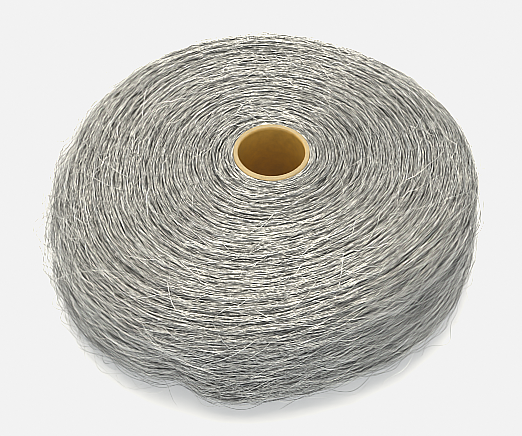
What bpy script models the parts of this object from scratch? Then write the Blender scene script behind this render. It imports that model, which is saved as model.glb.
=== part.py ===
"""Steel wool roll standing on its end: a wool ribbon wound on an open cardboard core.

Units are metres and +Z is up. The roll rests on z = 0, and the middle of its
plan box is the origin. Angles are measured from +X towards +Y around the roll.

The wool is one closed solid. Its ribbon starts with a thin end on the core and
finishes with a thin end on the outer side, after TURNS turns. Both end faces
have a crest for each turn of the ribbon and a groove between turns, and soft
bundles of fibres run round the outer side, with grooves between them.
"""
import math

import bpy
import numpy as np

# Cardboard core
CORE_BORE_RADIUS = 0.01905
CORE_WALL = 0.0023
CORE_LENGTH = 0.0774
CORE_EDGE = 0.0003
CORE_X = 0.00315
CORE_Y = 0.00405
CORE_SEGMENTS = 48

# Room between the core and the first turn of wool
SEAT_GAP = 0.0003

# Wool outline, seen from above
OUTLINE_X = -0.00235
OUTLINE_Y = 0.00005
OUTLINE_RADIUS = 0.11764
# (lobes, cosine part, sine part), as shares of the radius
OUTLINE_LOBES = ((2, 0.0088, 0.0150), (3, 0.0200, -0.0109))
# the lower edge is pressed out of round and spreads on the floor
FOOT_LOBES = ((2, 0.0150, -0.0150),)
FOOT_SPREAD = 0.00235
# (angle and half width in degrees, how far it stands out) of dents and bulges there
FOOT_DENTS = ((214.0, 9.0, 0.0018), (247.0, 5.5, -0.0054), (262.0, 9.0, 0.0034))

# Wool height: the face lies at FACE_HEIGHT by the core and leans towards the rim
FACE_HEIGHT = 0.0762
# (lobes, cosine part, sine part), in metres at the rim
FACE_LEAN = ((1, 0.0055, 0.0010), (2, 0.0005, -0.0020))
TOP_SHOULDER = 0.01865
FOOT_SHOULDER = 0.0165

# Wool turns
TURNS = 20
WOOL_SEGMENTS = 60
TOP_GROOVE = 0.0026
FOOT_GROOVE = 0.0024
# unevenness of the turns on the top face
CREST_SWELL = 0.0006
TURN_DRIFT = 0.10
# the wound side swells between its two shoulders, and grooves part its bundles
SIDE_SWELL = 0.0008
SIDE_GROOVES = 4
SIDE_GROOVE = 0.0014
# (lobes, cosine part, sine part) of how far those wander up and down, in grooves
SIDE_WANDER = ((1, 0.25, 0.10), (3, -0.12, 0.15))

# Material values: colour, roughness, metallic
WOOL_LOOK = ((0.360, 0.352, 0.312), 0.55, 0.85)
CARD_LOOK = ((0.560, 0.380, 0.200), 0.85, 0.0)


def lobes(phi, terms):
    """Sum of cosine and sine waves around the roll."""
    total = np.zeros_like(phi)
    for count, cosine, sine in terms:
        total += cosine * np.cos(count * phi) + sine * np.sin(count * phi)
    return total


def dents(phi, terms):
    """Sum of smooth bells, each at its own angle."""
    total = np.zeros_like(phi)
    for angle, width, height in terms:
        off = (phi - math.radians(angle) + math.pi) % (2 * math.pi) - math.pi
        total += height * np.exp(-(off / math.radians(width)) ** 2)
    return total


def material(name, look):
    """A Principled material with a plain colour."""
    colour, roughness, metallic = look
    made = bpy.data.materials.new(name)
    made.use_nodes = True
    shader = made.node_tree.nodes["Principled BSDF"]
    shader.inputs["Base Color"].default_value = (*colour, 1.0)
    shader.inputs["Roughness"].default_value = roughness
    shader.inputs["Metallic"].default_value = metallic
    made.diffuse_color = (*colour, 1.0)
    return made


def weld(grids):
    """Join grids of points into one mesh, welding points that coincide.

    Each grid is a (rows, columns, 3) array. Its faces look along rows crossed
    with columns. Cells that close up to a line are left out.
    """
    points = np.concatenate([grid.reshape(-1, 3) for grid in grids])
    keys = np.round(points / 1e-7).astype(np.int64)
    _, first, index = np.unique(keys, axis=0, return_index=True, return_inverse=True)
    index = index.reshape(-1)
    faces = []
    start = 0
    for grid in grids:
        rows, columns = grid.shape[:2]
        ids = index[start:start + rows * columns].reshape(rows, columns)
        start += rows * columns
        cells = np.stack([ids[:-1, :-1], ids[1:, :-1], ids[1:, 1:], ids[:-1, 1:]], -1)
        for cell in cells.reshape(-1, 4).tolist():
            corners = [c for i, c in enumerate(cell) if c != cell[i - 1]]
            if len(set(corners)) > 2:
                faces.append(corners)
    return points[first], faces


def solid(name, points, faces, made, sharp):
    """Put a closed mesh in the scene, with edges over sharp degrees kept crisp."""
    mesh = bpy.data.meshes.new(name)
    mesh.from_pydata(points.tolist(), [], faces)
    mesh.validate()
    mesh.materials.append(made)
    mesh.shade_smooth()
    mesh.set_sharp_from_angle(angle=math.radians(sharp))
    node = bpy.data.objects.new(name, mesh)
    bpy.context.collection.objects.link(node)
    return node


def core_tube():
    """The cardboard tube: a closed ring section turned around its own axis."""
    inner = CORE_BORE_RADIUS
    outer = CORE_BORE_RADIUS + CORE_WALL
    section = np.array([
        (outer, CORE_EDGE), (outer, CORE_LENGTH - CORE_EDGE),
        (outer - CORE_EDGE, CORE_LENGTH), (inner + CORE_EDGE, CORE_LENGTH),
        (inner, CORE_LENGTH - CORE_EDGE), (inner, CORE_EDGE),
        (inner + CORE_EDGE, 0.0), (outer - CORE_EDGE, 0.0), (outer, CORE_EDGE),
    ])
    turn = np.arange(CORE_SEGMENTS + 1) % CORE_SEGMENTS * (2 * math.pi / CORE_SEGMENTS)
    radius, height = section[:, :1], section[:, 1:]
    grid = np.stack([
        CORE_X + radius * np.cos(turn), CORE_Y + radius * np.sin(turn),
        height + 0.0 * turn,
    ], -1)
    points, faces = weld([grid[:, ::-1]])
    return solid("core_tube", points, faces, material("kraft_card", CARD_LOOK), 35)


def wool_face(phi, count, radius, lean, level, shoulder, groove, side):
    """One wound end face, from the core seat to the end of its shoulder.

    count holds, for each row and column, how many turns of ribbon lie inside
    the point, and every second row is the crest of a turn. The profile runs flat
    along the lean, then round the shoulder, in equal steps of length. side is 1
    for the top face and -1 for the foot.
    """
    seat = CORE_BORE_RADIUS + CORE_WALL + SEAT_GAP
    start = np.stack([CORE_X + seat * np.cos(phi), CORE_Y + seat * np.sin(phi)], -1)
    rim = np.stack([OUTLINE_X + radius * np.cos(phi), OUTLINE_Y + radius * np.sin(phi)], -1)
    reach = np.linalg.norm(rim - start, axis=-1)
    flat = reach - shoulder
    length = flat + shoulder * math.pi / 2

    wound = np.clip(count, 0.0, TURNS)
    drift = TURN_DRIFT * np.sin(2.1 * count + 1.3 * np.sin(0.7 * count))
    share = (wound + drift * np.minimum(wound, TURNS - wound) / TURNS * 2) / TURNS
    run = share * length
    bend = np.clip((run - flat) / shoulder, 0.0, math.pi / 2)
    out = np.minimum(run, flat) + shoulder * np.sin(bend)
    blend = np.clip(run / flat, 0.0, 1.0)
    blend = blend * blend * (3 - 2 * blend)
    rise = lean * blend - shoulder * (1 - np.cos(bend))

    # a groove is only as deep as the ribbon beside it is thick
    thick = np.diff(wound[::2], axis=0)
    beside = np.zeros_like(wound[::2])
    beside[1:-1] = np.minimum(thick[1:], thick[:-1])
    depth = np.zeros_like(wound)
    depth[::2] = groove * beside * (1 + 0.35 * np.sin(5.3 * count[::2]))
    swell = np.zeros_like(wound)
    if side > 0:
        swell[1::2] = CREST_SWELL * thick * np.sin(3.7 * count[1::2])
        swell *= np.minimum(1.0, (length - run) / shoulder)
    out = out - (depth - swell) * np.sin(bend)
    rise = rise - (depth - swell) * np.cos(bend)

    plan = start + (rim - start) * (out / reach)[..., None]
    return np.concatenate([plan, (level + side * rise)[..., None]], -1)


def wool_roll():
    """The wound ribbon: two end faces, the outer side and the seat on the core."""
    phi = np.linspace(0.0, 2 * math.pi, WOOL_SEGMENTS + 1)
    edges = np.arange(TURNS + 2)[:, None] - 1 + phi / (2 * math.pi)
    count = np.empty((2 * TURNS + 3, WOOL_SEGMENTS + 1))
    count[::2] = edges
    count[1::2] = (np.clip(edges[1:], 0, TURNS) + np.clip(edges[:-1], 0, TURNS)) / 2

    top_radius = OUTLINE_RADIUS * (1 + lobes(phi, OUTLINE_LOBES))
    foot_radius = top_radius * (1 + lobes(phi, FOOT_LOBES)) + FOOT_SPREAD
    foot_radius += dents(phi, FOOT_DENTS)
    lean = lobes(phi, FACE_LEAN)
    top = wool_face(phi, count, top_radius, lean, FACE_HEIGHT, TOP_SHOULDER, TOP_GROOVE, 1)
    foot = wool_face(phi, count, foot_radius, 0.0 * phi, 0.0, FOOT_SHOULDER, FOOT_GROOVE, -1)

    # rows lie in turn on a crest and in a groove, and wander most at half height
    row = np.arange(2 * SIDE_GROOVES + 1)[:, None]
    level = row / (2 * SIDE_GROOVES)
    down = level + 4 * level * (1 - level) * lobes(phi, SIDE_WANDER) / SIDE_GROOVES
    swell = SIDE_SWELL * np.sin(math.pi * level) * np.ones_like(phi)
    swell[1::2] -= SIDE_GROOVE * (1 + 0.6 * np.sin(2 * phi + 2.2 * row[1::2]))
    outward = np.stack([np.cos(phi), np.sin(phi), 0.0 * phi], -1)
    side = top[-1] + (foot[-1] - top[-1]) * down[..., None] + outward * swell[..., None]
    seat = np.stack([top[0], foot[0]])

    points, faces = weld([top, side, foot[::-1], seat[::-1]])
    return solid("wool_roll", points, faces, material("steel_wool", WOOL_LOOK), 110)


def main():
    for leftover in list(bpy.data.objects):
        bpy.data.objects.remove(leftover, do_unlink=True)
    core_tube()
    wool_roll()


main()
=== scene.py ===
"""Steel wool roll on a pale floor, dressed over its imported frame.

Lengths are metres and +Z is up. Angles (phi) run from +X towards +Y round the
roll. A place on the wool is given by phi and by its run: how far it lies along
the roll's section, over the upper face from the core, down the wound side and
under the foot back to the core.
"""
import math
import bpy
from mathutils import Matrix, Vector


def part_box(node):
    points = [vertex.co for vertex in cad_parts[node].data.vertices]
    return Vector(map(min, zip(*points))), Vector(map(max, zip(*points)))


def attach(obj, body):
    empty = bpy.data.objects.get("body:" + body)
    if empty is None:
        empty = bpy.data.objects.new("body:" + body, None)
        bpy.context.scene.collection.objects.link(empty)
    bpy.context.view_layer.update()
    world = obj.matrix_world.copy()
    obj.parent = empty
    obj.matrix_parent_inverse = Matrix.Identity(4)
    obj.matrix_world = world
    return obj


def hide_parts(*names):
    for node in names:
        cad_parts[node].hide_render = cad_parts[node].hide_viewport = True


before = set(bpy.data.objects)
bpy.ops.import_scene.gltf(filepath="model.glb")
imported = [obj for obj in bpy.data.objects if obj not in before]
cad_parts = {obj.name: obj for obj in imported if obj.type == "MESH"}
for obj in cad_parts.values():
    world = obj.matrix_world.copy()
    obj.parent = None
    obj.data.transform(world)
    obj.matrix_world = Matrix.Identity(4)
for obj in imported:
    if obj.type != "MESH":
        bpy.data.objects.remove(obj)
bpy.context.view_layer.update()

from types import SimpleNamespace

import bpy
import numpy as np
from bpy.props import FloatProperty, FloatVectorProperty, IntProperty, PointerProperty
from bpy.types import Operator, Panel, PropertyGroup

bl_info = {
    "name": "Steel wool roll",
    "version": (1, 0, 0),
    "blender": (4, 5, 0),
    "location": "View3D > Sidebar > Wool roll",
    "description": "Dresses the packed steel wool roll and sets its stage",
    "category": "Object",
}

CORE_LOW, CORE_HIGH = (np.array(corner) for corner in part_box("core_tube"))
CORE_AXIS = (CORE_LOW[:2] + CORE_HIGH[:2]) / 2
CORE_OUTSIDE = float(CORE_HIGH[0] - CORE_LOW[0]) / 2
CORE_TOP = float(CORE_HIGH[2])
FULL_TURN = 2 * math.pi

# Wool outline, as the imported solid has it: (lobes, cosine part, sine part)
OUTLINE_AXIS = np.array([-0.00235, 0.00005])
OUTLINE_LOBES = ((2, 0.0088, 0.0150), (3, 0.0200, -0.0109))
FOOT_LOBES = ((2, 0.0150, -0.0150),)
FACE_LEAN = ((1, 0.0055, 0.0010), (2, 0.0005, -0.0020))
SIDE_WANDER = ((1, 0.25, 0.10), (3, -0.12, 0.15))
# Dents and bulges of the lower edge: (angle and half width in degrees, height)
FOOT_DENTS = ((214.0, 9.0, 0.0018), (247.0, 5.5, -0.0054), (262.0, 9.0, 0.0034))

# Lengths of the section's stretches: upper face, wound side, foot, core seat
FACE_RUN = 0.1066
SIDE_RUN = 0.0415
FOOT_RUN = 0.1030
SEAT_RUN = 0.0762
# The runs at which they begin and end
RUN_ENDS = np.cumsum([0.0, FACE_RUN, SIDE_RUN, FOOT_RUN, SEAT_RUN])
# A quarter round's length over its radius, and the length of the rounded lower edge
QUARTER_ROUND = 1.57
FOOT_EDGE_RUN = 0.026

# The map that the finished mesh carries its finish on
FINISH_MAP = "OFBake"

# The lowest that a strand's own surface comes to the floor
FLOOR_CLEARANCE = 5e-5
# Steps that spread places evenly: shares of a turn and of an area
EVEN_STEPS = np.array([[0.7548777], [0.5698403]])

# A laid strand bobs over its neighbours, dips at its ends, follows most of the
# turns' relief, and goes round the roll by no more than an arc
STRAND_BOB = 0.0003
STRAND_DIP = 0.0006
STRAND_FOLLOW = 0.85
STRAND_ARC = 1.2
STRAND_POINTS = 8
# It keeps clear of the core by these runs, on the upper face and on the foot
CORE_MARGIN = 0.0006
FOOT_MARGIN = 0.004

# How the strands lie on the upper face and on the wound side; lay_strands tells
# what each value does
FACE_LAY = SimpleNamespace(
    length=0.019, length_spread=0.30, shortest=0.010, longest=0.045,
    veer=0.03, rim_veer=0.05, strays=0.05, stray_slope=0.5,
    sway=0.0004, wave=(0.010, 0.026), bright=0.75, contrast=0.45, stray_tone=0.25,
    unevenness=0.0001, dull_drop=0.0003, stray_rise=0.0004, width=1.0)
SIDE_LAY = SimpleNamespace(
    length=0.024, length_spread=0.35, shortest=0.012, longest=0.050,
    veer=0.15, rim_veer=0.0, strays=0.36, stray_slope=0.42,
    sway=0.0006, wave=(0.020, 0.050), bright=0.45, contrast=1.5, stray_tone=0.5,
    unevenness=0.0003, dull_drop=0.0007, stray_rise=0.0007, width=0.9)

# Loose strands of two kinds; loose_paths tells what each value does
HAZE = SimpleNamespace(
    points=12, shortest=0.016, longest=0.045, slant=0.15, loft=0.0013, most=0.008)
LOOPS = SimpleNamespace(
    points=24, shortest=0.025, longest=0.080, slant=0.3, loft=0.0032, most=0.012)
# Where more of them stand off, at the left and the lower right: (share of the
# strands, angle and its spread in degrees, how much higher and more slanted)
TUFTS = ((0.28, 188, 24, 3.0), (0.06, 316, 16, 1.2), (0.05, 350, 20, 1.2))

# Tints of the light: low down, from above, and the lamp's own
LOW_LIGHT = (0.76, 0.87, 1.0)
HIGH_LIGHT = (1.0, 0.95, 0.83)
LAMP_LIGHT = (1.0, 0.94, 0.82)
DISPLAY_GAMMA = 2.2


class WoolForm(PropertyGroup):
    """Sizes of the wound wool."""

    outline_radius: FloatProperty(
        name="Outline radius", description="Mean radius of the roll's upper edge",
        default=0.11764, unit="LENGTH")
    foot_spread: FloatProperty(
        name="Foot spread", description="How much wider the roll is at its foot",
        default=0.00235, unit="LENGTH")
    face_height: FloatProperty(
        name="Face height", description="Height of the upper face beside the core",
        default=0.0762, unit="LENGTH")
    top_shoulder: FloatProperty(
        name="Top shoulder", description="Rounding of the upper edge",
        default=0.01865, unit="LENGTH")
    foot_shoulder: FloatProperty(
        name="Foot shoulder", description="Rounding of the lower edge",
        default=0.0165, unit="LENGTH")
    side_swell: FloatProperty(
        name="Side swell", description="Bulge of the wound side at half height",
        default=0.0008, unit="LENGTH")
    side_grooves: IntProperty(
        name="Side grooves", description="Grooves one above the other on the wound side",
        default=4, min=1)
    side_groove: FloatProperty(
        name="Side groove", description="Usual depth of those grooves",
        default=0.0014, unit="LENGTH")
    seat_gap: FloatProperty(
        name="Seat gap", description="Room between the core and the wool",
        default=0.0003, unit="LENGTH")
    turns: IntProperty(
        name="Turns", description="Turns of the wound ribbon", default=20, min=1)
    groove: FloatProperty(
        name="Groove", description="Depth of the gaps between turns",
        default=0.0026, unit="LENGTH")
    crest_swell: FloatProperty(
        name="Crest swell", description="Unevenness of the turns on the upper face",
        default=0.0006, unit="LENGTH")
    turn_drift: FloatProperty(
        name="Turn drift", description="How far turns stray from even widths, in turns",
        default=0.1)
    bundles: IntProperty(
        name="Bundles", description="Bundles of strands side by side in each turn",
        default=3, min=1)
    ridge: FloatProperty(
        name="Ridge", description="Unevenness of the packed fibres below the strands",
        default=0.0003, unit="LENGTH")
    strand_depth: FloatProperty(
        name="Strand depth", description="How far the packed fibres lie below the outline",
        default=0.0008, unit="LENGTH")
    waver: FloatProperty(
        name="Waver", description="How far the winding wavers to either side",
        default=0.00012, unit="LENGTH")


class StrandLook(PropertyGroup):
    """Number and thickness of the strands that show one by one."""

    face_strands: IntProperty(
        name="Face strands", description="Strands on the flat of the upper face",
        default=5400, min=1)
    shoulder_strands: IntProperty(
        name="Shoulder strands", description="Strands on the rounded upper edge",
        default=4200, min=1)
    side_strands: IntProperty(
        name="Side strands", description="Strands on the wound side",
        default=4700, min=1)
    foot_strands: IntProperty(
        name="Foot strands", description="Strands on the rounded lower edge",
        default=1700, min=1)
    haze_strands: IntProperty(
        name="Haze strands", description="Short strands that lie loosely round the wool",
        default=2600, min=1)
    loose_strands: IntProperty(
        name="Loose strands", description="Long strands that stand off the wool",
        default=400, min=1)
    half_width: FloatProperty(
        name="Half width", description="Usual half width of a strand",
        default=0.00015, unit="LENGTH")
    loose_half_width: FloatProperty(
        name="Loose half width", description="Half width of a strand that stands off",
        default=0.00009, unit="LENGTH")


class TubeForm(PropertyGroup):
    """Sizes of the cardboard tube."""

    wall: FloatProperty(
        name="Wall", description="Thickness of the tube's wall",
        default=0.0023, unit="LENGTH")
    edge: FloatProperty(
        name="Edge", description="Rounding of the tube's edges",
        default=0.0003, unit="LENGTH")
    plies: IntProperty(
        name="Plies", description="Layers of card that show on the rim", default=5, min=1)


class RollColours(PropertyGroup):
    """Colours of the wool, the card and the floor."""

    bright_steel: FloatVectorProperty(
        name="Bright steel", description="Strands that catch the light",
        default=(0.80, 0.803, 0.785), size=3, subtype="COLOR", min=0, max=1)
    dull_steel: FloatVectorProperty(
        name="Dull steel", description="Strands and bundles that stay dark",
        default=(0.24, 0.241, 0.234), size=3, subtype="COLOR", min=0, max=1)
    # painted shade: the darkest colour of the packed fibres, standing for the shade in the gaps
    # between strands
    shaded_gap_steel: FloatVectorProperty(
        name="Deep steel", description="The gaps between strands",
        default=(0.055, 0.054, 0.050), size=3, subtype="COLOR", min=0, max=1)
    cut_card: FloatVectorProperty(
        name="Cut card", description="Cut end of the cardboard tube",
        default=(0.415, 0.335, 0.19), size=3, subtype="COLOR", min=0, max=1)
    card_wall: FloatVectorProperty(
        name="Card wall", description="Inside wall of the cardboard tube",
        default=(0.41, 0.23, 0.032), size=3, subtype="COLOR", min=0, max=1)
    floor: FloatVectorProperty(
        name="Floor", description="The pale floor",
        default=(0.50, 0.503, 0.51), size=3, subtype="COLOR", min=0, max=1)


class StageLook(PropertyGroup):
    """Camera and light."""

    lens: FloatProperty(
        name="Lens", description="Focal length of the camera, in millimetres",
        default=64.57)
    rise: FloatProperty(
        name="Camera rise", description="How far the camera looks down",
        default=math.radians(50.11), subtype="ANGLE")
    distance: FloatProperty(
        name="Camera distance", description="From the camera to the point it looks at",
        default=0.55657, unit="LENGTH")
    target: FloatVectorProperty(
        name="Camera target", description="The point that the camera looks at",
        default=(-0.002727, -0.00465, 0.029), size=3, subtype="TRANSLATION")
    horizon: FloatProperty(
        name="Horizon", description="Strength of the light from low down all round", default=0.60)
    overhead: FloatProperty(
        name="Overhead", description="Strength of the light from straight above", default=0.98)
    fill: FloatProperty(
        name="Fill", description="Strength of the light from the two front corners",
        default=1.3)
    back: FloatProperty(
        name="Back", description="Strength of the light from behind", default=1.1)
    aside: FloatProperty(
        name="Aside", description="Light that is missing on the left and right", default=0.2)
    key: FloatProperty(
        name="Key", description="Strength of the large soft lamp above the roll", default=5.7)
    key_spread: FloatProperty(
        name="Key spread", description="How wide that lamp looks from the roll",
        default=math.radians(34), subtype="ANGLE")
    glow: FloatProperty(
        name="Floor glow", description="Light that the floor gives off", default=0.36)
    white: FloatProperty(
        name="White", description="Level that a blown-out white keeps in the picture",
        default=0.888)
    crispness: FloatProperty(
        name="Crispness", description="Sharpening of the picture", default=0.12)


def lobes(phi, terms):
    """Sum of cosine and sine waves around the roll."""
    return sum(a * np.cos(n * phi) + b * np.sin(n * phi) for n, a, b in terms)


def dents(phi):
    """Sum of smooth bells round the lower edge, each at its own angle."""
    total = 0
    for angle, width, height in FOOT_DENTS:
        off = (phi - math.radians(angle) + math.pi) % FULL_TURN - math.pi
        total = total + height * np.exp(-(off / math.radians(width)) ** 2)
    return total


def unit(vectors):
    """Vectors scaled to a length of one."""
    return vectors / np.maximum(np.linalg.norm(vectors, axis=-1, keepdims=True), 1e-12)


def ring(axis, radius, phi):
    """Points at a radius round an axis."""
    return axis + np.stack([radius * np.cos(phi), radius * np.sin(phi)], -1)


def face_skin(form, phi, share, radius, lean, level, shoulder, side):
    """An end face of the roll, from the core (share 0) to the end of its shoulder (1).

    The section runs straight from the core's seat towards the rim, rising to the
    lean by a smooth step, then a quarter round. share counts its length evenly.
    """
    start = ring(CORE_AXIS, CORE_OUTSIDE + form.seat_gap, phi)
    rim = ring(OUTLINE_AXIS, radius, phi)
    reach = np.linalg.norm(rim - start, axis=-1)
    flat = reach - shoulder
    run = share * (flat + shoulder * math.pi / 2)
    bend = np.clip((run - flat) / shoulder, 0.0, math.pi / 2)
    out = np.minimum(run, flat) + shoulder * np.sin(bend)
    blend = np.clip(run / flat, 0.0, 1.0)
    blend = blend * blend * (3 - 2 * blend)
    height = level + side * (lean * blend - shoulder * (1 - np.cos(bend)))
    plan = start + (rim - start) * (out / reach)[..., None]
    return np.concatenate([plan, height[..., None]], -1)


def wool_skin(form, phi, run):
    """The smooth skin of the roll at an angle and a run, whole arrays at a time.

    Each stretch between RUN_ENDS is worked out for every place and the one that
    holds the place is kept: upper face, wound side, foot, core seat. The side
    swells by a half wave from edge to edge.
    """
    phi, run = np.broadcast_arrays(phi, run)
    way = np.interp(run, RUN_ENDS, np.arange(5.0))
    upper = form.outline_radius * (1 + lobes(phi, OUTLINE_LOBES))
    lower = upper * (1 + lobes(phi, FOOT_LOBES)) + form.foot_spread + dents(phi)
    lean = lobes(phi, FACE_LEAN)

    def face(share):
        return face_skin(form, phi, share, upper, lean, form.face_height, form.top_shoulder, 1)

    def foot(share):
        return face_skin(form, phi, share, lower, 0 * phi, 0.0, form.foot_shoulder, -1)

    down = np.clip(way - 1, 0, 1)
    swell = form.side_swell * np.sin(math.pi * down)
    outward = np.stack([np.cos(phi), np.sin(phi), 0 * phi], -1)
    full, down = np.ones_like(phi), down[..., None]
    side = face(full) * (1 - down) + foot(full) * down + outward * swell[..., None]
    up = np.clip(way - 3, 0, 1)[..., None]
    seat = foot(0 * full) * (1 - up) + face(0 * full) * up
    way = way[..., None]
    place = np.where(way < 1, face(np.clip(way[..., 0], 0, 1)), side)
    place = np.where(way > 2, foot(np.clip(3 - way[..., 0], 0, 1)), place)
    return np.where(way > 3, seat, place)


def wool_normals(form, phi, run):
    """Outward normals of the skin: the cross product of its two slopes."""
    step = 2e-4
    along = wool_skin(form, phi + step, run) - wool_skin(form, phi - step, run)
    across = wool_skin(form, phi, run + step) - wool_skin(form, phi, run - step)
    return unit(np.cross(across, along))


def wound_turns(form, run):
    """Turns of ribbon inside a run: none at the core, all of them at the rim.

    The turns share a face's run evenly, apart from a slow drift to and fro.
    """
    way = np.interp(run, RUN_ENDS, np.arange(5.0))
    even = form.turns * np.clip(np.where(way < 1.5, way, 3 - way), 0, 1)
    drift = form.turn_drift * np.sin(2.1 * even + 1.3 * np.sin(0.7 * even))
    return even - drift * np.minimum(even, form.turns - even) / form.turns * 2


def turn_relief(form, phi, run):
    """Height of the wound turns over the smooth skin.

    off is how far a place is from the nearest gap, in turns: the ribbon winds in
    a spiral, so a gap is where the turns inside, less the angle in turns, make a
    whole number. The height falls evenly from 0 on a crest to the groove's depth
    in a gap, and that depth and the crests' own height swing slowly. On the wound
    side a few grooves lie one above the other, level at the edges and wandering
    most at half height, with a depth that comes and goes round the roll.
    """
    wound = wound_turns(form, run)
    off = np.abs((wound - phi / FULL_TURN + 0.5) % 1.0 - 0.5)
    ends = np.clip(wound, 0, 1) * np.clip(form.turns - wound, 0, 1)
    depth = form.groove * (1 + 0.35 * np.sin(5.3 * wound)) * (1 - 2 * off)
    swell = form.crest_swell * np.sin(3.7 * wound) * 2 * off
    swell = swell * np.clip((FACE_RUN - run) / form.top_shoulder, 0, 1)
    down = np.clip((run - FACE_RUN) / SIDE_RUN, 0, 1)
    row = 2 * (form.side_grooves * down - 4 * down * (1 - down) * lobes(phi, SIDE_WANDER))
    side = form.side_groove * (1 - np.abs(row % 2 - 1))
    side = side * (1 + 0.6 * np.sin(2 * phi + 2.2 * (2 * np.floor(row / 2) + 1)))
    return ends * (swell - depth) - side


def waver(form, place):
    """How far the winding strays across its own run at a place.

    A sum of plane waves through space, so that strands side by side stray together.
    """
    rng = np.random.default_rng(5)
    shortest, longest, count = 0.009, 0.020, 16
    total = 0
    for _ in range(count):
        heading = rng.normal(size=3)
        pace = FULL_TURN / rng.uniform(shortest, longest) / np.linalg.norm(heading)
        total = total + np.cos(place @ (heading * pace) + rng.uniform(0, FULL_TURN))
    return form.waver * total / math.sqrt(count / 2)


def waves(phi, run, lengths, most_lobes, count, rng):
    """A sum of waves that run mostly round the roll: ridges along the winding.

    Each wave has a whole number of lobes round the roll and a wavelength across
    the winding drawn from lengths. Their sum has a spread of about 1.
    """
    total = np.zeros(np.broadcast(phi, run).shape)
    for _ in range(count):
        around = rng.integers(-most_lobes, most_lobes + 1)
        across = FULL_TURN / rng.uniform(*lengths)
        total += np.cos(around * phi + across * run + rng.uniform(0, FULL_TURN))
    return total * math.sqrt(2 / count)


def placed(name, data):
    """An object with its data, put in the scene."""
    made = bpy.data.objects.new(name, data)
    bpy.context.scene.collection.objects.link(made)
    return made


def mesh_piece(name, points, loops, starts, finish, body, values):
    """Put a mesh of whole arrays in the scene as a piece that rides on a body.

    loops holds the corner vertices of all faces in a row, starts where each face
    begins, finish a place on the finish map for each corner, and values an
    attribute's numbers by its name.
    """
    mesh = bpy.data.meshes.new(name)
    mesh.vertices.add(len(points))
    mesh.vertices.foreach_set("co", np.ascontiguousarray(points, np.float32).ravel())
    mesh.loops.add(len(loops))
    mesh.loops.foreach_set("vertex_index", loops.astype(np.int32))
    mesh.polygons.add(len(starts))
    mesh.polygons.foreach_set("loop_start", starts.astype(np.int32))
    mesh.update(calc_edges=True)
    layer = mesh.uv_layers.new(name=FINISH_MAP)
    layer.uv.foreach_set("vector", np.ascontiguousarray(finish, np.float32).ravel())
    for key, value in values.items():
        made = mesh.attributes.new(key, "FLOAT", "POINT")
        made.data.foreach_set("value", np.ascontiguousarray(value, np.float32).ravel())
    if mesh.validate():
        raise RuntimeError(name + " has faces that can't be kept")
    mesh.shade_smooth()
    piece = placed(name, mesh)
    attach(piece, body)
    return piece


def ring_piece(name, grid, values):
    """A piece from a grid that closes on itself both ways, rows by columns."""
    rows, columns = grid.shape[:2]
    row, column = np.meshgrid(np.arange(rows), np.arange(columns), indexing="ij")
    corner = np.array([(0, 0), (1, 0), (1, 1), (0, 1)])
    at_row = row[..., None] + corner[:, 0]
    at_column = column[..., None] + corner[:, 1]
    loops = (at_row % rows) * columns + at_column % columns
    finish = np.stack([at_column / columns, at_row / rows], -1)
    return mesh_piece(
        name, grid.reshape(-1, 3), loops.ravel(), np.arange(rows * columns) * 4,
        finish.reshape(-1, 2), "root", values)


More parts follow.
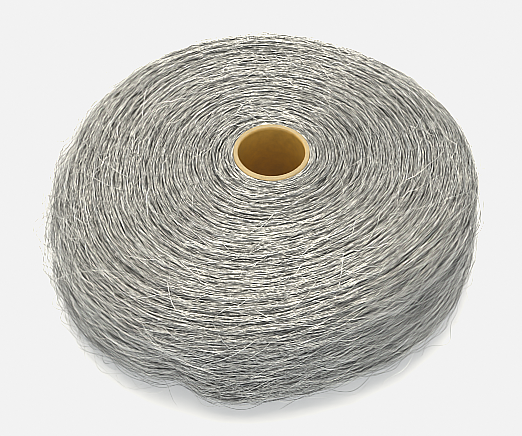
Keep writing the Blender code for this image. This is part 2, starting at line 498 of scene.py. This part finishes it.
def strand_piece(name, paths, normals, half, tone, finish):
    """One piece of many closed three-sided strands, pinched to a point at both ends.

    paths is (strands, points, 3). Each ring round a path is three points, turned
    slowly along the strand, from a start that differs from strand to strand. half
    is each strand's half width in its middle, from where it thins by the cube of
    the way to either end, and tone is how bright it is.
    """
    strands, points = paths.shape[:2]
    rings = points - 2
    along = unit(np.gradient(paths, axis=1))
    across = unit(np.cross(along, normals))
    up = np.cross(across, along)
    twist, start, thinnest = 2.2, 7.0 * tone[:, None], 0.35
    turned = np.linspace(0, twist, points) + start
    angle = turned[..., None] + np.arange(3) * FULL_TURN / 3
    spoke = (np.cos(angle)[..., None] * up[:, :, None]
             + np.sin(angle)[..., None] * across[:, :, None])
    full = 1 - np.abs(np.linspace(-1, 1, points)) ** 3
    half_widths = half[:, None] * (thinnest + (1 - thinnest) * full)
    rim = paths[:, :, None] + half_widths[..., None, None] * spoke
    vertices = np.concatenate(
        [paths[:, :1], rim[:, 1:-1].reshape(strands, rings * 3, 3), paths[:, -1:]], 1)
    vertices[..., 2] = np.maximum(vertices[..., 2], FLOOR_CLEARANCE)

    # corners and finish of one strand: four-sided faces between rings, then the tips
    ring_at, side = np.meshgrid(np.arange(rings - 1), np.arange(3), indexing="ij")
    at_ring = ring_at.reshape(-1, 1) + [0, 0, 1, 1]
    at_side = side.reshape(-1, 1) + [0, 1, 1, 0]
    edge = np.arange(3)[:, None]
    last = rings * 3 + 1
    corners = [
        1 + at_ring * 3 + at_side % 3,
        np.hstack([0 * edge, 1 + (edge + 1) % 3, 1 + edge]),
        np.hstack([0 * edge + last, last - 3 + edge, last - 3 + (edge + 1) % 3])]
    place = [
        np.stack([at_ring + 1, at_side], -1),
        np.stack([0 * edge + [0, 1, 1], edge + [0.5, 1, 0]], -1),
        np.stack([0 * edge + rings + [1, 0, 0], edge + [0.5, 0, 1]], -1)]
    sizes = np.concatenate([np.full(len(faces), faces.shape[1]) for faces in corners])
    corners = np.concatenate([faces.ravel() for faces in corners])
    place = np.concatenate([spots.reshape(-1, 2) for spots in place])
    # each strand has a cell of its own on the finish map, with a margin round it
    margin = np.array([0.02, 0.1])
    place = place / (rings + 1, 3) * (1 - 2 * margin) + margin

    each = vertices.shape[1]
    loops = (np.arange(strands)[:, None] * each + corners).ravel()
    starts = (np.arange(strands)[:, None] * len(corners)
              + np.concatenate([[0], np.cumsum(sizes)[:-1]])).ravel()
    columns = max(1, round(math.sqrt(strands / 6)))
    rows = math.ceil(strands / columns)
    cell = np.stack([np.arange(strands) % columns, np.arange(strands) // columns], -1)
    cells = (cell[:, None] + place) / (columns, rows)
    piece = mesh_piece(
        name, vertices.reshape(-1, 3), loops, starts, cells.reshape(-1, 2), "root",
        {"tone": np.repeat(tone, each)})
    piece.data.materials.append(finish)


def flat_run(form):
    """The run at which the flat of the upper face ends."""
    return FACE_RUN - QUARTER_ROUND * form.top_shoulder


def radius_at(form, run):
    """Rough distance of a run from the roll's axis, straight between its edges."""
    radius = form.outline_radius
    seat = CORE_OUTSIDE + form.seat_gap
    return np.interp(
        run,
        [0, flat_run(form), FACE_RUN, FACE_RUN + SIDE_RUN + FOOT_EDGE_RUN, RUN_ENDS[3]],
        [seat, radius - form.top_shoulder, radius, radius - form.foot_shoulder, seat])


def spread_runs(form, rng, low, high, count):
    """Angles and runs spread evenly over the area of a band of the wool.

    Two shares step on by fixed fractions from strand to strand, which leaves no
    clumps and no holes: one is the angle's, the other that of the band's area.
    """
    around, across = (rng.random(2)[:, None] + np.arange(count) * EVEN_STEPS) % 1
    table = np.linspace(low, high, 400)
    area = np.cumsum(radius_at(form, table))
    return FULL_TURN * around, np.interp(area[0] + (area[-1] - area[0]) * across, area, table)


def bundled(form, rng, phi, run):
    """Runs moved to the bundles: each turn holds a few, side by side.

    Counted in bundles, a place's whole part is kept, and its rest is drawn
    afresh round a half, more widely towards the rim. The count goes on evenly for
    a margin past both ends of the face.
    """
    margin, by_core, to_rim = 0.002, 0.11, 0.09
    table = np.linspace(-margin, FACE_RUN + margin, 3000)
    past = margin / (FACE_RUN / form.turns)
    turns = np.interp(
        table, [-margin, 0, FACE_RUN, FACE_RUN + margin],
        [-past, 0, form.turns, form.turns + past])
    inside = (table > 0) & (table < FACE_RUN)
    turns[inside] = wound_turns(form, table[inside])
    count = form.bundles * (np.interp(run, table, turns) - phi / FULL_TURN)
    scatter = by_core + to_rim * run / FACE_RUN
    count = np.floor(count) + rng.normal(size=len(run)) * scatter + 0.5
    return np.interp(count / form.bundles + phi / FULL_TURN, turns, table)


def swing(rng, along, shortest, longest):
    """A sine wave along each strand, whose wavelength and start are drawn."""
    drawn = (len(along), 1)
    return np.sin(FULL_TURN * along / rng.uniform(shortest, longest, drawn)
                  + rng.uniform(0, FULL_TURN, drawn))


def laid_paths(form, rng, phi, run, length, slope, sway, wave, lift, points):
    """Paths of strands that lie on the wool, and the skin's normals along them.

    With t from -1/2 to 1/2 along a strand of a given length, it goes round the
    roll by t length over its radius, and across by its slope times t length plus
    a sine wave as high as its sway and the winding's waver. That wave's length is
    drawn from wave. Its height is its lift over most of the turns' relief; it bobs
    over and under its neighbours at twice that pace, and dips at both ends.
    """
    t = np.linspace(-0.5, 0.5, points)
    along = length[:, None] * t
    around = phi[:, None] + along / radius_at(form, run)[:, None]
    straight = run[:, None] + slope[:, None] * along
    straight = straight + sway[:, None] * swing(rng, along, *wave)
    across = straight + waver(form, wool_skin(form, around, straight))
    across = np.clip(across, CORE_MARGIN, RUN_ENDS[3] - FOOT_MARGIN)
    ends = (2 * np.abs(t)) ** 8
    height = lift[:, None] * (1 - ends)
    height = height + STRAND_BOB * swing(rng, along, wave[0] / 2, wave[1] / 2)
    height = height - STRAND_DIP * ends
    height = height + STRAND_FOLLOW * turn_relief(form, around, straight)
    normals = wool_normals(form, around, across)
    return wool_skin(form, around, across) + height[..., None] * normals, normals


def strand_tones(rng, count, bright, spread):
    """Tones of strands: the first ones laid, a given share, are bright, the rest dull.

    They are two beta draws, stretched about a half by the spread and kept from 0 to 1.
    """
    first = np.arange(count) < bright * count
    drawn = np.where(first, rng.beta(5, 2, count), rng.beta(2, 4, count))
    return np.clip(0.5 + spread * (drawn - 0.5), 0, 1)


def lay_strands(name, form, look, lay, rng, phi, run, lead, finish):
    """Make a piece of strands that lie on the wool, each with its middle at a place.

    lay holds the usual length, its spread and its limits; the veer, a spread of
    slopes round the winding's lead, and what it gains by the rim; the share of
    strays, steeper, brighter and higher than the rest; the most sway and its
    wavelengths; the share of bright strands and the contrast of all; how uneven
    their heights are and how much lower a dull one lies; and their width.
    """
    count, least_sway, width_spread = len(run), 0.0001, 0.3
    length = rng.lognormal(math.log(lay.length), lay.length_spread, count)
    length = np.clip(length, lay.shortest, lay.longest)
    length = np.minimum(length, STRAND_ARC * radius_at(form, run))
    slope = lead + rng.normal(size=count) * (lay.veer + lay.rim_veer * run / FACE_RUN)
    stray = rng.random(count) < lay.strays
    slope[stray] = rng.normal(0, lay.stray_slope, stray.sum())
    sway = rng.uniform(least_sway, lay.sway, count)
    tone = strand_tones(rng, count, lay.bright, lay.contrast) + lay.stray_tone * stray
    lift = rng.uniform(-lay.unevenness, lay.unevenness, count)
    lift = lift - lay.dull_drop * (1 - tone) + lay.stray_rise * stray
    paths, normals = laid_paths(
        form, rng, phi, run, length, slope, sway, lay.wave, lift, STRAND_POINTS)
    half = lay.width * look.half_width * rng.lognormal(0, width_spread, count)
    strand_piece(name, paths, normals, half, tone, finish)


def loose_paths(form, rng, kind, count):
    """Paths of strands that stand off the wool, and the skin's normals along them.

    A strand goes round the roll by its length over the radius, and across by its
    slant plus a sine wave, kept near the side by a hyperbolic tangent. It stands
    off by its loft times an arch, with a slight wobble: a half sine for a loop, a
    power of the way along for a free end. It is rooted below the skin where it
    begins. kind holds the lengths, the slant and the usual and greatest loft.
    """
    phi = rng.uniform(0, FULL_TURN, count)
    rough = np.ones(count)
    for share, middle, spread, more in TUFTS:
        tufted = rng.random(count) < share
        phi[tufted] = np.radians(rng.normal(middle, spread, tufted.sum()))
        rough[tufted] = more
    # their middles lie from above the side to below it
    above, below = 0.026, 0.014
    run = rng.uniform(FACE_RUN - above, FACE_RUN + SIDE_RUN + below, count)
    length = rng.uniform(kind.shortest, kind.longest, count)
    t = np.linspace(0, 1, kind.points)
    along = length[:, None] * (t - 0.5)
    around = phi[:, None] + rng.choice([-1, 1], (count, 1)) * along / form.outline_radius
    across = run[:, None] + kind.slant * rough[:, None] * rng.normal(size=(count, 1)) * along
    sway = rng.uniform(0.0003, 0.0022, (count, 1))
    across = across + sway * swing(rng, along, 0.035, 0.08)
    centre, reach = FACE_RUN + 0.014, 0.055
    across = centre + reach * np.tanh((across - centre) / reach)
    loft_spread, loops, wobble, root = 0.6, 0.6, 0.25, 0.001
    loft = rough * rng.lognormal(math.log(kind.loft), loft_spread, count)
    loft = np.minimum(loft, kind.most)[:, None]
    looped = rng.random((count, 1)) < loops
    arch = np.where(looped, np.sin(math.pi * t), t ** 1.6)
    height = loft * arch * (1 + wobble * swing(rng, along, 0.02, 0.05)) - root * (1 - t) ** 6
    normals = wool_normals(form, around, across)
    paths = wool_skin(form, around, across) + height[..., None] * normals
    # strands that reach the floor lie down on it smoothly
    floor, soft = 0.0005, 0.001
    fall = paths[..., 2] - floor
    paths[..., 2] = floor + (fall + np.sqrt(fall ** 2 + soft ** 2)) / 2
    return paths, normals


def new_material(name):
    """A material and its node tree, Principled shader and Object coordinates."""
    made = bpy.data.materials.new(name)
    made.use_nodes = True
    tree = made.node_tree
    place = tree.nodes.new("ShaderNodeTexCoord")
    return made, tree, tree.nodes["Principled BSDF"], place.outputs["Object"]


def noise(tree, vector, scale, detail=3.0, rough=0.55):
    """A noise texture over a vector, and its value."""
    node = tree.nodes.new("ShaderNodeTexNoise")
    node.inputs["Scale"].default_value = scale
    node.inputs["Detail"].default_value = detail
    node.inputs["Roughness"].default_value = rough
    tree.links.new(vector, node.inputs["Vector"])
    return node.outputs["Fac"]


def ramp(tree, value, stops):
    """A colour ramp over a value: stops are (place, colour)."""
    node = tree.nodes.new("ShaderNodeValToRGB")
    while len(node.color_ramp.elements) < len(stops):
        node.color_ramp.elements.new(0.5)
    for element, (place, colour) in zip(node.color_ramp.elements, stops):
        element.position = place
        element.color = (*colour, 1.0)
    tree.links.new(value, node.inputs["Fac"])
    return node.outputs["Color"]


def ranged(tree, value, low, high, new_low, new_high):
    """A value carried from one range to another."""
    node = tree.nodes.new("ShaderNodeMapRange")
    node.inputs["From Min"].default_value = low
    node.inputs["From Max"].default_value = high
    node.inputs["To Min"].default_value = new_low
    node.inputs["To Max"].default_value = new_high
    tree.links.new(value, node.inputs["Value"])
    return node.outputs["Result"]


def maths(tree, operation, first, second=0.0):
    """One or two values or numbers put through one operation."""
    node = tree.nodes.new("ShaderNodeMath")
    node.operation = operation
    for socket, value in zip(node.inputs, (first, second)):
        if isinstance(value, (int, float)):
            socket.default_value = value
        else:
            tree.links.new(value, socket)
    return node.outputs["Value"]


def mixed(tree, blend, factor, first, second):
    """Two colours blended by a factor; the second may be a fixed colour."""
    node = tree.nodes.new("ShaderNodeMix")
    node.data_type = "RGBA"
    node.blend_type = blend
    one, other = [socket for socket in node.inputs if socket.type == "RGBA"]
    tree.links.new(factor, node.inputs["Factor"])
    tree.links.new(first, one)
    if isinstance(second, tuple):
        other.default_value = (*second, 1.0)
    else:
        tree.links.new(second, other)
    return next(socket for socket in node.outputs if socket.type == "RGBA")


def attribute(tree, name):
    """A value that the piece's mesh holds at its vertices."""
    node = tree.nodes.new("ShaderNodeAttribute")
    node.attribute_name = name
    return node.outputs["Fac"]


def bump(tree, shader, height, strength, distance):
    """Give a shader bump from a height."""
    node = tree.nodes.new("ShaderNodeBump")
    node.inputs["Strength"].default_value = strength
    node.inputs["Distance"].default_value = distance
    tree.links.new(height, node.inputs["Height"])
    tree.links.new(node.outputs["Normal"], shader.inputs["Normal"])


def scaled(colour, factor):
    """A colour made darker or lighter."""
    return tuple(min(1.0, part * factor) for part in colour)


def strand_steel(colours):
    """Bare steel strand: bright or dull by its tone, mottled and rough in patches."""
    name = "strand_steel"
    if name in bpy.data.materials:
        return bpy.data.materials[name]
    made, tree, shader, place = new_material(name)
    patch = noise(tree, place, 520.0)
    tone = maths(tree, "ADD", attribute(tree, "tone"), ranged(tree, patch, 0.3, 0.7, -0.2, 0.2))
    colour = ramp(tree, tone, [
        (0.0, scaled(colours.dull_steel, 0.4)), (0.35, colours.dull_steel),
        (0.8, scaled(colours.bright_steel, 0.9)), (1.0, colours.bright_steel)])
    tree.links.new(colour, shader.inputs["Base Color"])
    shader.inputs["Metallic"].default_value = 0.9
    tree.links.new(ranged(tree, patch, 0.3, 0.7, 0.55, 0.36), shader.inputs["Roughness"])
    return made


def bundle_steel(colours, bundles):
    """Packed fibres below the strands: streaks along the winding, with slits of painted shade.

    Streaks are noise over the place, with the turns wound so far added to its
    height, so that it changes faster across the winding than along it. A slit of
    painted shade runs where the turns, counted in bundles, make a whole number,
    give or take a noise that bends it.
    """
    made, tree, shader, place = new_material("bundle_steel")
    along, across = 110.0, 9.0
    wound = attribute(tree, "wound")
    spread = tree.nodes.new("ShaderNodeVectorMath")
    spread.operation = "MULTIPLY"
    spread.inputs[1].default_value = (along, along, along)
    tree.links.new(place, spread.inputs[0])
    lift = tree.nodes.new("ShaderNodeCombineXYZ")
    tree.links.new(maths(tree, "MULTIPLY", wound, across), lift.inputs["Z"])
    spot = tree.nodes.new("ShaderNodeVectorMath")
    spot.operation = "ADD"
    tree.links.new(spread.outputs["Vector"], spot.inputs[0])
    tree.links.new(lift.outputs["Vector"], spot.inputs[1])
    fibres = noise(tree, spot.outputs["Vector"], 1.0, 3.0, 0.6)
    bend = noise(tree, place, 130.0, 2.0)
    layer = tree.nodes.new("ShaderNodeUVMap")
    layer.uv_map = FINISH_MAP
    turn = tree.nodes.new("ShaderNodeSeparateXYZ")
    tree.links.new(layer.outputs["UV"], turn.inputs["Vector"])
    wind = maths(tree, "MULTIPLY", maths(tree, "SUBTRACT", wound, turn.outputs["X"]), bundles)
    wind = maths(tree, "ADD", wind, ranged(tree, bend, 0.3, 0.7, -0.25, 0.25))
    # 60 keeps the count above nought, and a half puts the slits on whole numbers
    part = maths(tree, "FRACT", maths(tree, "ADD", wind, 60.5))
    off = maths(tree, "ABSOLUTE", maths(tree, "SUBTRACT", part, 0.5))
    # painted shade: the fibres darkened in the slits between bundles
    slit_shade = ranged(tree, off, 0.0, 0.3, 0.25, 0.0)
    tone = maths(tree, "SUBTRACT", ranged(tree, fibres, 0.32, 0.68, 0.0, 1.0), slit_shade)
    # darker below the strands of the side, where less light gets in
    level = tree.nodes.new("ShaderNodeSeparateXYZ")
    tree.links.new(place, level.inputs["Vector"])
    tone = maths(
        tree, "MULTIPLY", tone, ranged(tree, level.outputs["Z"], 0.045, 0.068, 0.45, 1.0))
    # from the painted shade of the gaps, through dull steel, up to bright steel
    colour = ramp(tree, tone, [
        (0.0, colours.shaded_gap_steel), (0.35, scaled(colours.dull_steel, 0.6)),
        (0.7, scaled(colours.bright_steel, 0.5)), (1.0, colours.bright_steel)])
    tree.links.new(colour, shader.inputs["Base Color"])
    shader.inputs["Metallic"].default_value = 0.8
    tree.links.new(ranged(tree, fibres, 0.3, 0.7, 0.6, 0.4), shader.inputs["Roughness"])
    bump(tree, shader, tone, 0.6, 0.0005)
    return made


def kraft_card(colours):
    """Wound kraft card: pale where it is cut, brown and faintly marked on its wall, with painted
    shade in the grooves between plies and along the spiral joint.
    """
    made, tree, shader, place = new_material("kraft_card_wound")
    cut = attribute(tree, "cut")
    fibre = noise(tree, place, 260.0, 5.0, 0.65)
    soft = noise(tree, place, 38.0, 2.0)
    marks = maths(
        tree, "ADD", maths(tree, "MULTIPLY", fibre, 0.5), maths(tree, "MULTIPLY", soft, 0.5))
    wall = ramp(tree, marks, [
        (0.3, scaled(colours.card_wall, 0.72)), (0.5, colours.card_wall),
        (0.7, scaled(colours.card_wall, 1.25))])
    end = ramp(tree, fibre, [
        (0.3, scaled(colours.cut_card, 0.8)), (0.7, colours.cut_card)])
    plain = mixed(tree, "MIX", cut, wall, end)
    # painted shade, darkening the card in the grooves between plies and along the spiral joint
    shade = (0.45, 0.36, 0.26)
    groove_shaded = mixed(tree, "MULTIPLY", attribute(tree, "groove_shade"), plain, shade)
    tree.links.new(groove_shaded, shader.inputs["Base Color"])
    tree.links.new(ranged(tree, fibre, 0.3, 0.7, 0.55, 0.78), shader.inputs["Roughness"])
    bump(tree, shader, fibre, 0.35, 0.00025)
    return made


def floor_paint(colours, glow):
    """Pale matt floor that gives off light of its own, with hardly any grain."""
    made, tree, shader, place = new_material("floor_paint")
    grain = noise(tree, place, 9.0, 2.0)
    tree.links.new(ramp(tree, grain, [
        (0.3, scaled(colours.floor, 0.992)), (0.7, colours.floor)]), shader.inputs["Base Color"])
    shader.inputs["Roughness"].default_value = 0.9
    shader.inputs["Specular IOR Level"].default_value = 0.0
    shader.inputs["Emission Color"].default_value = (0.97, 0.985, 1.0, 1.0)
    shader.inputs["Emission Strength"].default_value = glow
    return made


class WoundWool(Operator):
    """Make the wound body of the roll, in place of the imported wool"""

    bl_idname = "wool_roll.wound_wool"
    bl_label = "Wound wool"

    def execute(self, context):
        form, colours = context.scene.wool_form, context.scene.roll_colours
        rng = np.random.default_rng(11)
        columns, rows = 360, (112, 40, 36, 3)
        runs = np.concatenate([
            np.linspace(start, end, count, endpoint=False)
            for start, end, count in zip(RUN_ENDS[:-1], RUN_ENDS[1:], rows)])
        phi = np.arange(columns) * FULL_TURN / columns
        phi, run = np.meshgrid(phi, runs)
        skin, normals = wool_skin(form, phi, run), wool_normals(form, phi, run)
        kept = np.where(run < RUN_ENDS[3], run - waver(form, skin), run)
        relief = turn_relief(form, phi, kept) - form.strand_depth
        relief += form.ridge * waves(
            phi, kept, lengths=(0.0019, 0.0045), most_lobes=7, count=26, rng=rng)
        relief = np.where(run > FACE_RUN + SIDE_RUN, np.minimum(relief, 0), relief)
        # the relief fades out towards the core on both faces
        fade = 0.003
        relief *= np.clip(run / fade, 0, 1) * np.clip((RUN_ENDS[3] - run) / fade, 0, 1)
        grid = skin + relief[..., None] * normals
        grid[..., 2] = np.maximum(grid[..., 2], 0.0)
        # past the rim turns are counted on down the side, so many a metre, for the
        # streaks alone
        pace = 200
        wound = wound_turns(form, kept) + np.maximum(kept - FACE_RUN, 0) * pace
        piece = ring_piece("wound_wool", grid, {"wound": wound})
        piece.data.materials.append(bundle_steel(colours, form.bundles))
        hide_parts("wool_roll")
        return {"FINISHED"}


class FaceStrands(Operator):
    """Lay the strands that show on the upper face and its rounded edge"""

    bl_idname = "wool_roll.face_strands"
    bl_label = "Face strands"

    def execute(self, context):
        form, look = context.scene.wool_form, context.scene.strand_look
        finish = strand_steel(context.scene.roll_colours)
        first, flat = 0.001, flat_run(form)
        for name, low, high, count, seed in (
                ("face_strands", first, flat, look.face_strands, 21),
                ("shoulder_strands", flat, FACE_RUN, look.shoulder_strands, 22)):
            rng = np.random.default_rng(seed)
            phi, run = spread_runs(form, rng, low, high, count)
            run = bundled(form, rng, phi, run)
            # along the spiral a strand gains the width of a turn each time round
            lead = FACE_RUN / form.turns / FULL_TURN / radius_at(form, run)
            lay_strands(name, form, look, FACE_LAY, rng, phi, run, lead, finish)
        return {"FINISHED"}


class SideStrands(Operator):
    """Lay the crossing strands on the wound side and the rounded lower edge"""

    bl_idname = "wool_roll.side_strands"
    bl_label = "Side strands"

    def execute(self, context):
        form, look = context.scene.wool_form, context.scene.strand_look
        finish = strand_steel(context.scene.roll_colours)
        # the side's strands begin a little way up over the rounded upper edge
        overlap, middle = 0.004, FACE_RUN + SIDE_RUN
        for name, low, high, count, seed in (
                ("side_strands", FACE_RUN - overlap, middle, look.side_strands, 31),
                ("foot_strands", middle, middle + FOOT_EDGE_RUN, look.foot_strands, 32)):
            rng = np.random.default_rng(seed)
            phi, run = spread_runs(form, rng, low, high, count)
            lay_strands(name, form, look, SIDE_LAY, rng, phi, run, 0.0, finish)
        return {"FINISHED"}


class LooseStrands(Operator):
    """Make the strands that stand off the wool: the haze round it, loops and stray ends"""

    bl_idname = "wool_roll.loose_strands"
    bl_label = "Loose strands"

    def execute(self, context):
        form, look = context.scene.wool_form, context.scene.strand_look
        finish = strand_steel(context.scene.roll_colours)
        bright, contrast, width_spread = 0.5, 1.7, 0.25
        for name, kind, count, seed in (
                ("haze_strands", HAZE, look.haze_strands, 41),
                ("loose_strands", LOOPS, look.loose_strands, 42)):
            rng = np.random.default_rng(seed)
            paths, normals = loose_paths(form, rng, kind, count)
            half = look.loose_half_width * rng.lognormal(0, width_spread, count)
            tone = strand_tones(rng, count, bright, contrast)
            strand_piece(name, paths, normals, half, tone, finish)
        return {"FINISHED"}


class CardTube(Operator):
    """Make the cardboard tube with its cut plies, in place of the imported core"""

    bl_idname = "wool_roll.card_tube"
    bl_label = "Card tube"

    def execute(self, context):
        form = context.scene.tube_form
        outside, inside, soft = CORE_OUTSIDE, CORE_OUTSIDE - form.wall, form.edge
        outer_rows, bore_rows, under_rows = 6, 30, 5
        # section: up the outside, over the rim ply by ply, down the bore, back below
        rim = np.linspace(0, 1, 6 * form.plies + 1)
        radius = np.concatenate([
            np.full(outer_rows, outside), outside - soft + (inside - outside + 2 * soft) * rim,
            np.full(bore_rows, inside), np.linspace(inside + soft, outside - soft, under_rows)])
        height = np.concatenate([
            np.linspace(soft, CORE_TOP - soft, outer_rows), np.full(len(rim), CORE_TOP),
            np.linspace(CORE_TOP - soft, soft, bore_rows), np.zeros(under_rows)])
        # the outside and the edge of the bore share the pale colour of the cut rim
        cut = np.concatenate([
            np.full(outer_rows, 0.7), np.ones(len(rim)), [0.4], np.zeros(bore_rows - 1),
            np.ones(under_rows)])
        on_rim = np.zeros(len(radius))
        on_rim[outer_rows:outer_rows + len(rim)] = 1
        ply = np.zeros(len(radius))
        ply[outer_rows:outer_rows + len(rim)] = rim * form.plies
        in_bore = np.zeros(len(radius))
        in_bore[outer_rows + len(rim):-under_rows] = 1
        on_rim, ply, in_bore = on_rim[:, None], ply[:, None], in_bore[:, None]

        columns = 288
        phi = np.arange(columns) * FULL_TURN / columns
        phi, radius = np.meshgrid(phi, radius)
        height = height[:, None] + 0 * phi
        # the rim: a groove between plies, a slow rise and fall, and a nick
        groove_depth, rise, nick_depth = 0.00011, 0.00010, 0.0006
        groove = on_rim * np.cos(FULL_TURN * (ply + 0.12 * np.sin(phi + 0.4)))
        nick = np.exp(-((phi - math.radians(258)) / 0.05) ** 2)
        height -= groove_depth * (groove + on_rim)
        height -= on_rim * rise * (1 + np.sin(3 * phi + 1.0))
        height -= on_rim * nick_depth * nick
        # the spiral joint of the inner ply, by how far it climbs in a turn
        climb, joint_width, joint_depth = 0.085, 0.006, 0.00012
        lead = (phi / FULL_TURN - height / climb) % 1.0
        joint = np.exp(-(np.minimum(lead, 1 - lead) / joint_width) ** 2)
        radius = radius + in_bore * joint_depth * joint
        # painted shade: how dark the grooves between plies and the spiral joint are drawn
        groove_shade = np.clip(0.55 * on_rim * np.clip(groove, 0, 1) + 0.8 * in_bore * joint, 0, 1)
        grid = np.concatenate([ring(CORE_AXIS, radius, phi), height[..., None]], -1)
        # rows go up the outside, so columns are turned round to face outwards
        values = {"cut": (cut[:, None] + 0 * phi)[:, ::-1], "groove_shade": groove_shade[:, ::-1]}
        piece = ring_piece("card_tube", grid[:, ::-1], values)
        piece.data.materials.append(kraft_card(context.scene.roll_colours))
        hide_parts("core_tube")
        return {"FINISHED"}


def lay_floor(colours, glow):
    """The floor, a plain square."""
    far = 3.0
    corners = [(-far, -far, 0), (far, -far, 0), (far, far, 0), (-far, far, 0)]
    mesh = bpy.data.meshes.new("floor")
    mesh.from_pydata(corners, [], [(0, 1, 2, 3)])
    mesh.materials.append(floor_paint(colours, glow))
    floor = placed("floor", mesh)


def light_stage(scene, stage):
    """The light all round, whose strength and tint go by its direction, and a lamp."""
    world = bpy.data.worlds.new("studio")
    world.use_nodes = True
    tree = world.node_tree
    sky = tree.nodes["Background"]
    way = tree.nodes.new("ShaderNodeSeparateXYZ")
    tree.links.new(
        tree.nodes.new("ShaderNodeTexCoord").outputs["Generated"], way.inputs["Vector"])
    # how far a direction points to the front left or the front right
    forward = maths(tree, "MULTIPLY", way.outputs["Y"], -0.8)
    sideways = maths(tree, "MULTIPLY", maths(tree, "ABSOLUTE", way.outputs["X"]), 0.6)
    near = maths(tree, "ADD", forward, sideways)
    # each range gives where a light begins and where it is full
    upper = ranged(tree, way.outputs["Z"], 0.1, 1.0, stage.horizon, stage.overhead)
    front = ranged(tree, near, 0.45, 0.95, 0.0, stage.fill)
    behind = ranged(tree, way.outputs["Y"], 0.4, 0.9, 0.0, stage.back)
    across = maths(tree, "MULTIPLY", way.outputs["X"], way.outputs["X"])
    missing = ranged(tree, across, 0.1, 0.8, 0.0, stage.aside)
    strength = maths(tree, "ADD", maths(tree, "ADD", upper, front), behind)
    strength = maths(tree, "SUBTRACT", strength, missing)
    tree.links.new(strength, sky.inputs["Strength"])
    tint = ramp(tree, way.outputs["Z"], [(0.2, LOW_LIGHT), (0.8, HIGH_LIGHT)])
    tree.links.new(tint, sky.inputs["Color"])
    scene.world = world

    key = bpy.data.lights.new("key", "SUN")
    key.energy = stage.key
    key.color = LAMP_LIGHT
    key.angle = stage.key_spread
    lamp = placed("key", key)
    lamp.rotation_euler = (math.radians(-10), math.radians(-4), 0)


def aimed_camera(stage):
    """The camera, at its distance from the target and looking down by its rise."""
    camera = bpy.data.cameras.new("camera")
    camera.lens = stage.lens
    camera.sensor_width = 36.0
    camera.clip_start, camera.clip_end = 0.01, 20.0
    eye = placed("camera", camera)
    eye.location = np.array(stage.target) + stage.distance * np.array(
        [0, -math.cos(stage.rise), math.sin(stage.rise)])
    eye.rotation_euler = (math.pi / 2 - stage.rise, 0, 0)
    return eye


def finish_picture(scene, stage):
    """Whites kept off pure white, and a picture as crisp as a sharpened photograph."""
    scene.view_settings.view_transform = "Standard"
    # crisp strands, as the photograph has them
    scene.cycles.use_denoising = True
    scene.cycles.filter_width = 1.0
    scene.use_nodes = True
    tree = scene.node_tree
    whites = tree.nodes.new("CompositorNodeCurveRGB")
    whites.mapping.extend = "HORIZONTAL"
    whites.mapping.curves[3].points[1].location = (1.0, stage.white)
    whites.mapping.update()
    crisp = tree.nodes.new("CompositorNodeFilter")
    crisp.filter_type = "SHARPEN"
    crisp.inputs["Fac"].default_value = stage.crispness
    # sharpened as it is seen: encoded before, decoded after
    encoded = tree.nodes.new("CompositorNodeGamma")
    encoded.inputs["Gamma"].default_value = 1 / DISPLAY_GAMMA
    decoded = tree.nodes.new("CompositorNodeGamma")
    decoded.inputs["Gamma"].default_value = DISPLAY_GAMMA
    chain = (tree.nodes["Render Layers"], whites, encoded, crisp, decoded,
             tree.nodes["Composite"])
    for node, following in zip(chain, chain[1:]):
        tree.links.new(node.outputs["Image"], following.inputs["Image"])


class Stage(Operator):
    """Set the floor, the light and the camera"""

    bl_idname = "wool_roll.stage"
    bl_label = "Stage"

    def execute(self, context):
        scene, stage = context.scene, context.scene.stage_look
        lay_floor(scene.roll_colours, stage.glow)
        light_stage(scene, stage)
        scene.camera = aimed_camera(stage)
        finish_picture(scene, stage)
        return {"FINISHED"}


class RollPanel(Panel):
    """Sizes, colours and steps of the wool roll"""

    bl_idname = "WOOL_ROLL_PT_panel"
    bl_label = "Wool roll"
    bl_space_type = "VIEW_3D"
    bl_region_type = "UI"
    bl_category = "Wool roll"

    def draw(self, context):
        for name in GROUPS:
            group = getattr(context.scene, name)
            column = self.layout.column(align=True)
            for key in group.__annotations__:
                column.prop(group, key)
        for step in STEPS:
            self.layout.operator(step.bl_idname)


GROUPS = {
    "wool_form": WoolForm,
    "strand_look": StrandLook,
    "tube_form": TubeForm,
    "roll_colours": RollColours,
    "stage_look": StageLook,
}
STEPS = (WoundWool, FaceStrands, SideStrands, LooseStrands, CardTube, Stage)


def register():
    """Make Blender know the groups, the steps and the panel."""
    for group in GROUPS.values():
        bpy.utils.register_class(group)
    for step in STEPS:
        bpy.utils.register_class(step)
    bpy.utils.register_class(RollPanel)
    for name, group in GROUPS.items():
        setattr(bpy.types.Scene, name, PointerProperty(type=group))


def unregister():
    """Take back what register did."""
    for name in GROUPS:
        delattr(bpy.types.Scene, name)
    bpy.utils.unregister_class(RollPanel)
    for step in reversed(STEPS):
        bpy.utils.unregister_class(step)
    for group in reversed(GROUPS.values()):
        bpy.utils.unregister_class(group)


def main():
    """Make every piece and the stage."""
    register()
    bpy.ops.wool_roll.wound_wool()
    bpy.ops.wool_roll.face_strands()
    bpy.ops.wool_roll.side_strands()
    bpy.ops.wool_roll.loose_strands()
    bpy.ops.wool_roll.card_tube()
    bpy.ops.wool_roll.stage()


if __name__ == "__main__":
    main()
